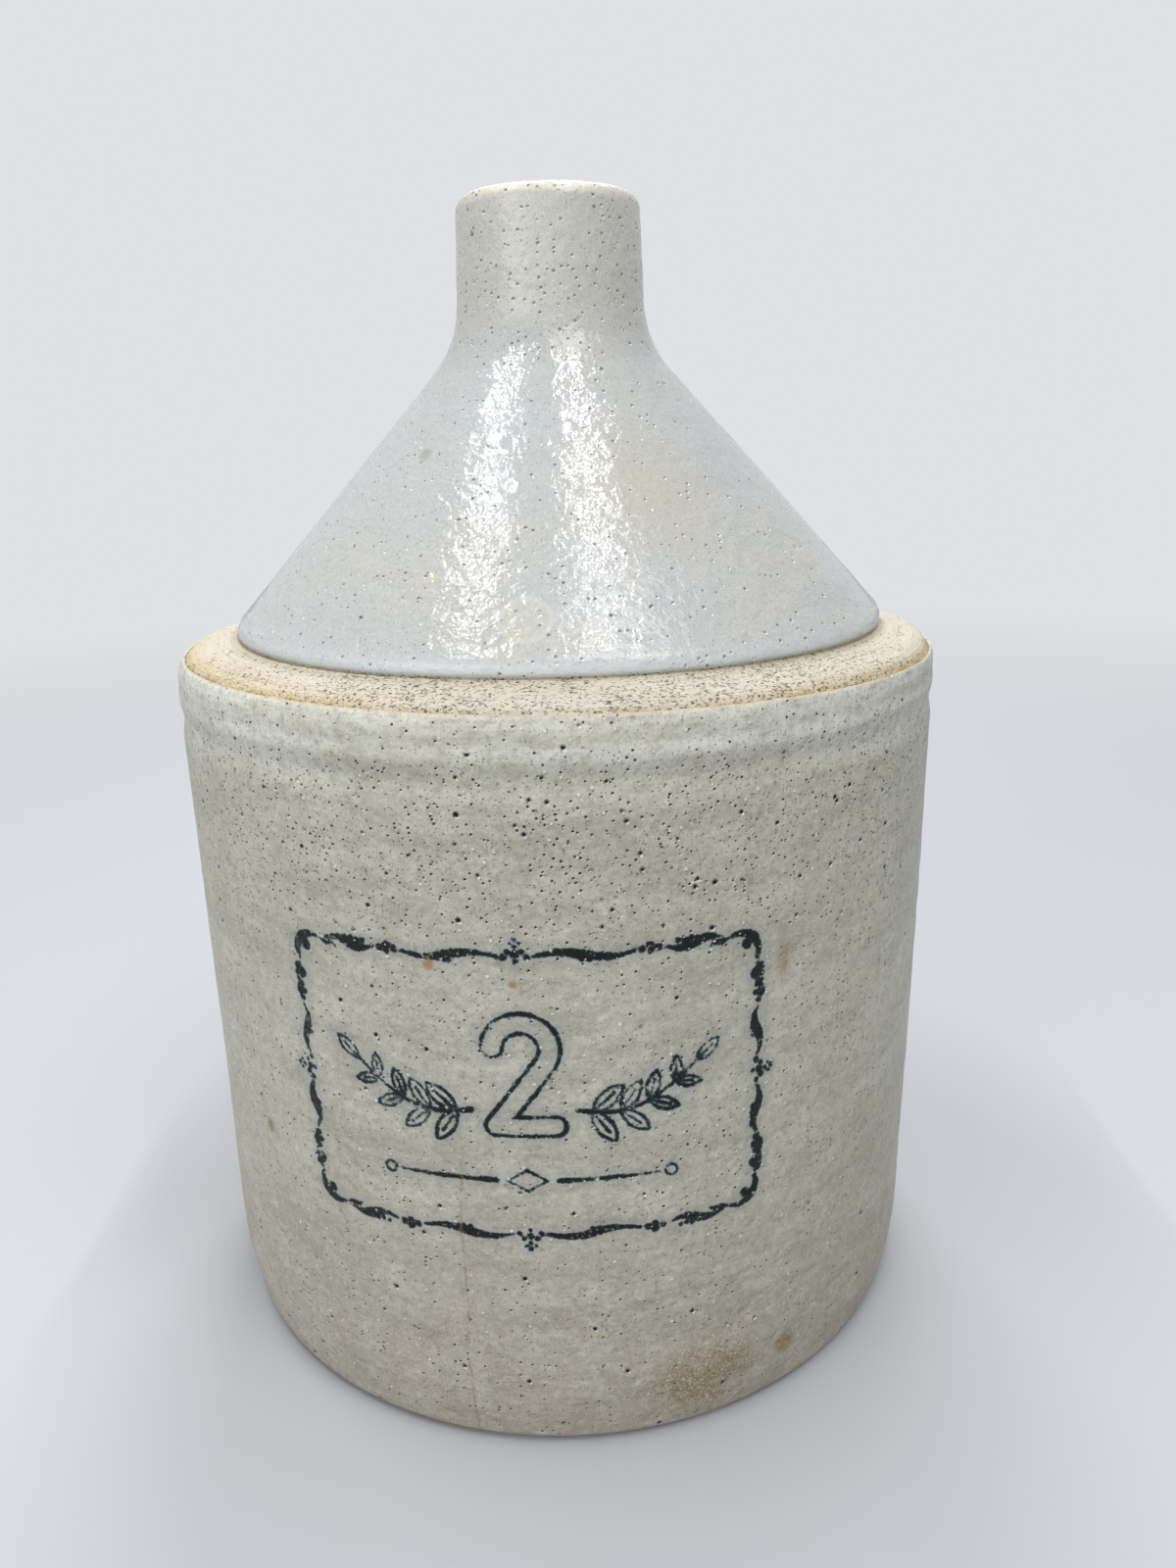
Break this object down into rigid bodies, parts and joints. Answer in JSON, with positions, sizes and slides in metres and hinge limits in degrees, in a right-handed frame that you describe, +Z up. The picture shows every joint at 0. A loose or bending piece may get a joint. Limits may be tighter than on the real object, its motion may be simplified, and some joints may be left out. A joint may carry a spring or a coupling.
{
  "type": "stoneware jug",
  "caption": "Straight-sided stoneware jug with a bare ledge, a glazed cone shoulder, a short neck, a strap handle and a lift-out cork.",
  "frame": {"origin": "centre of the base, on the surface that the jug stands on", "axes": "+Z up along the axis of the jug, +Y towards the handle at the back, -Y towards the front with the printed frame"},
  "size_m": [0.229, 0.229, 0.3322],
  "materials": {
    "bare_clay": "bare fired clay, cream, with fine dark pores and turning lines",
    "slip": "fired clay slip, matt",
    "shoulder_clay": "fired clay, cream, matt",
    "handle_glaze": "glossy bluish white glaze over clay, thin on the edges",
    "pot_glaze": "satin grey-beige glaze with pinholes and brown specks",
    "shoulder_glaze": "glossy bluish white glaze with a dimpled surface and fine specks",
    "lining": "glossy dark brown slip glaze, poured round the inside",
    "cork": "natural cork, tan, with dark pores and a worn top"
  },
  "bodies": {
    "jug": {"pot_body": "bare_clay", "luting_slip": "slip", "shoulder_neck": "shoulder_clay", "strap_handle": "handle_glaze", "pot_glaze": "pot_glaze", "shoulder_glaze": "shoulder_glaze", "inner_lining": "lining"},
    "stopper": {"cork_stopper": "cork"}
  },
  "joints": [
    {"name": "cork_lift", "type": "slide", "parent": "jug", "child": "stopper", "axis": [0, 0, 1], "range_m": [0, 0.05]}
  ]
}
